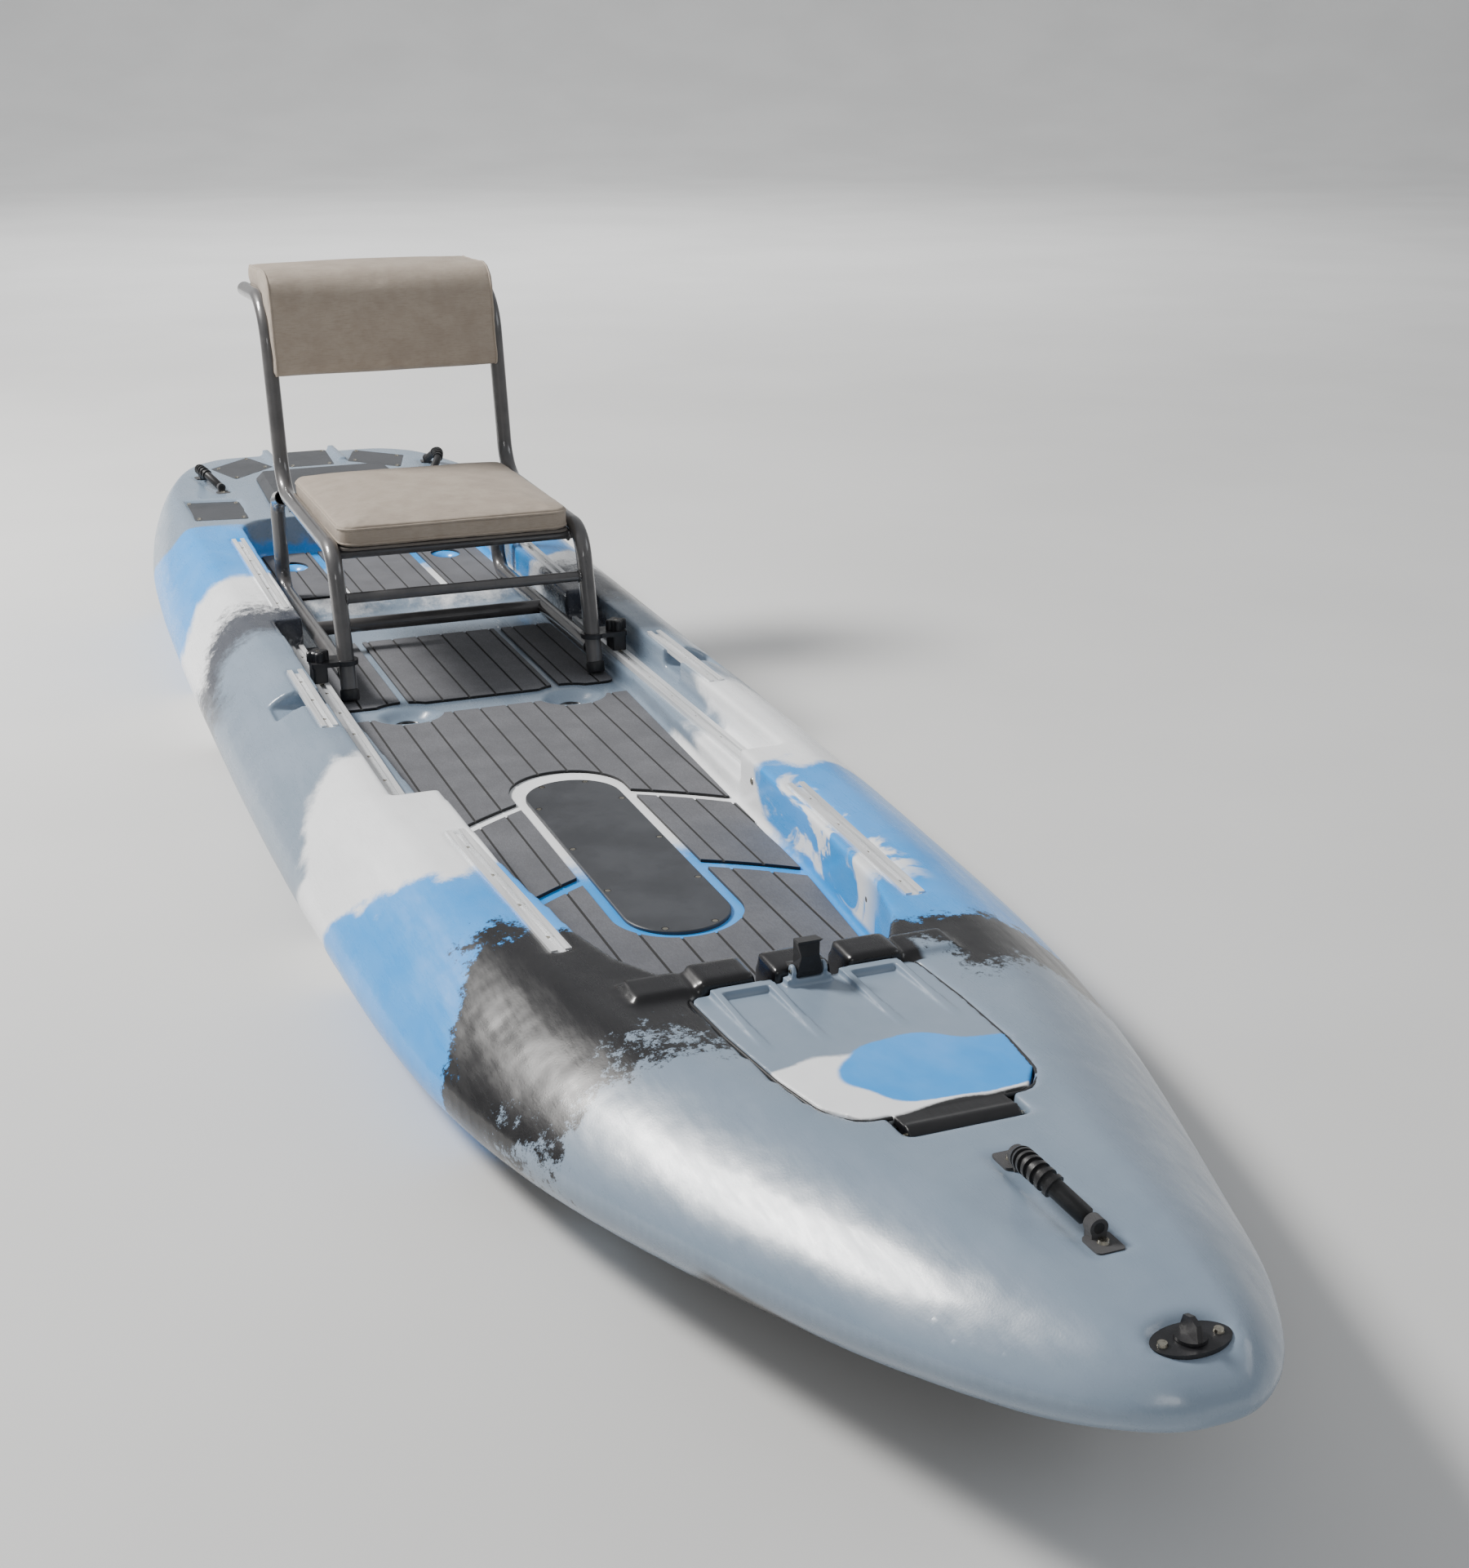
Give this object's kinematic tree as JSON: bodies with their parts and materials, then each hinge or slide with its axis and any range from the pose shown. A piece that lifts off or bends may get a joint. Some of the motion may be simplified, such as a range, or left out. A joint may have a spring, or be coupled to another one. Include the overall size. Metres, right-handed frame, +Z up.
{
  "type": "sit-on-top fishing kayak",
  "caption": "Sit-on-top fishing kayak with a raised frame seat sliding on side rails, padded cockpit, gear tracks, hinged bow hatch, carrying handles and drain plug.",
  "frame": {"origin": "under the middle of the hull, at the lowest level of its bottom", "axes": "+X towards the bow, +Y to port, +Z up"},
  "size_m": [3.98, 0.8899, 0.751],
  "materials": {
    "hull_plastic": "satin, swirled moulded colours",
    "deck_pad": "grooved foam, matt",
    "plate_plastic": "fine grain",
    "steel_screw": "bright",
    "track_aluminium": "anodised",
    "black_rubber": "moulded",
    "webbing": "woven strap",
    "black_plastic": "moulded",
    "frame_coat": "semi-gloss powder coat",
    "seat_fabric": "coated woven cloth"
  },
  "bodies": {
    "hull": {"hull_bottom": "hull_plastic", "stern_deck": "hull_plastic", "cockpit_floor": "hull_plastic", "gunwale_port": "hull_plastic", "gunwale_starboard": "hull_plastic", "hatch_surround": "hull_plastic", "bow_deck": "hull_plastic", "pad_front": "deck_pad", "pads_mid": "deck_pad", "pad_bow": "deck_pad", "pad_seat_centre": "deck_pad", "pads_seat_sides": "deck_pad", "pad_rear_centre": "deck_pad", "pads_rear_sides": "deck_pad", "oval_plate": "plate_plastic", "stern_plate_centre": "plate_plastic", "stern_plate_port": "plate_plastic", "stern_plate_starboard": "plate_plastic", "side_plate_port": "plate_plastic", "side_plate_starboard": "plate_plastic", "deck_screws": "steel_screw", "track_front_port": "track_aluminium", "track_front_starboard": "track_aluminium", "track_mid_port": "track_aluminium", "track_mid_starboard": "track_aluminium", "track_rear_port": "track_aluminium", "track_rear_starboard": "track_aluminium", "seat_rail_port": "track_aluminium", "seat_rail_starboard": "track_aluminium", "track_screws": "steel_screw", "hatch_gasket": "black_rubber", "hatch_hinge_pin": "steel_screw", "handle_tabs": "webbing", "drain_flange": "black_plastic", "stern_lid": "plate_plastic", "deck_plate_ring": "black_plastic"},
    "hatch_lid": {"hatch_lid": "hull_plastic", "hatch_latch_pin": "steel_screw"},
    "hatch_latch": {"hatch_latch": "black_rubber"},
    "bow_handle": {"bow_handle_grip": "black_rubber"},
    "stern_handle_port": {"stern_handle_port_grip": "black_rubber"},
    "stern_handle_starboard": {"stern_handle_starboard_grip": "black_rubber"},
    "drain_plug": {"drain_plug": "black_plastic"},
    "deck_plate_cap": {"deck_plate_cap": "black_plastic"},
    "seat": {"seat_side_tube_port": "frame_coat", "seat_side_tube_starboard": "frame_coat", "seat_lower_tube_port": "frame_coat", "seat_lower_tube_starboard": "frame_coat", "seat_crossbars": "frame_coat", "seat_base": "seat_fabric", "seat_cushion": "seat_fabric", "back_cushion": "seat_fabric", "clamp_base_port": "black_plastic", "clamp_base_starboard": "black_plastic", "clamp_bolts": "steel_screw"},
    "clamp_knob_port": {"clamp_knob_port": "black_plastic"},
    "clamp_knob_starboard": {"clamp_knob_starboard": "black_plastic"}
  },
  "joints": [
    {"name": "seat_slide", "type": "slide", "parent": "hull", "child": "seat", "axis": [1, 0, 0], "range_m": [-0.15, 0.12]},
    {"name": "hatch_hinge", "type": "hinge", "parent": "hull", "child": "hatch_lid", "pos_m": [1.55975, 0, 0.20595], "axis": [0, 1, 0], "range_deg": [0, 100]},
    {"name": "hatch_latch_turn", "type": "hinge", "parent": "hatch_lid", "child": "hatch_latch", "pos_m": [1.19883, 0, 0.20781], "axis": [0, 1, 0], "range_deg": [0, 75]},
    {"name": "bow_handle_swing", "type": "hinge", "parent": "hull", "child": "bow_handle", "pos_m": [1.73196, 0, 0.23599], "axis": [0.999, 0, 0.0451], "range_deg": [-120, 36]},
    {"name": "stern_handle_port_swing", "type": "hinge", "parent": "hull", "child": "stern_handle_port", "pos_m": [-1.6325, 0.25, 0.221], "axis": [0.9917, -0.1287, 0], "range_deg": [-40, 116]},
    {"name": "stern_handle_starboard_swing", "type": "hinge", "parent": "hull", "child": "stern_handle_starboard", "pos_m": [-1.6325, -0.25, 0.221], "axis": [0.9917, 0.1287, 0], "range_deg": [-116, 40]},
    {"name": "drain_plug_turn", "type": "hinge", "parent": "hull", "child": "drain_plug", "pos_m": [1.938, 0, 0.223], "axis": [0, 0, 1], "continuous": true},
    {"name": "deck_plate_turn", "type": "hinge", "parent": "hull", "child": "deck_plate_cap", "pos_m": [-1.44, 0, 0.233], "axis": [0, 0, 1], "continuous": true},
    {"name": "clamp_knob_port_turn", "type": "hinge", "parent": "seat", "child": "clamp_knob_port", "pos_m": [-0.274, 0.262, 0.18], "axis": [0, 0, 1], "continuous": true},
    {"name": "clamp_knob_starboard_turn", "type": "hinge", "parent": "seat", "child": "clamp_knob_starboard", "pos_m": [-0.274, -0.262, 0.18], "axis": [0, 0, 1], "continuous": true}
  ]
}
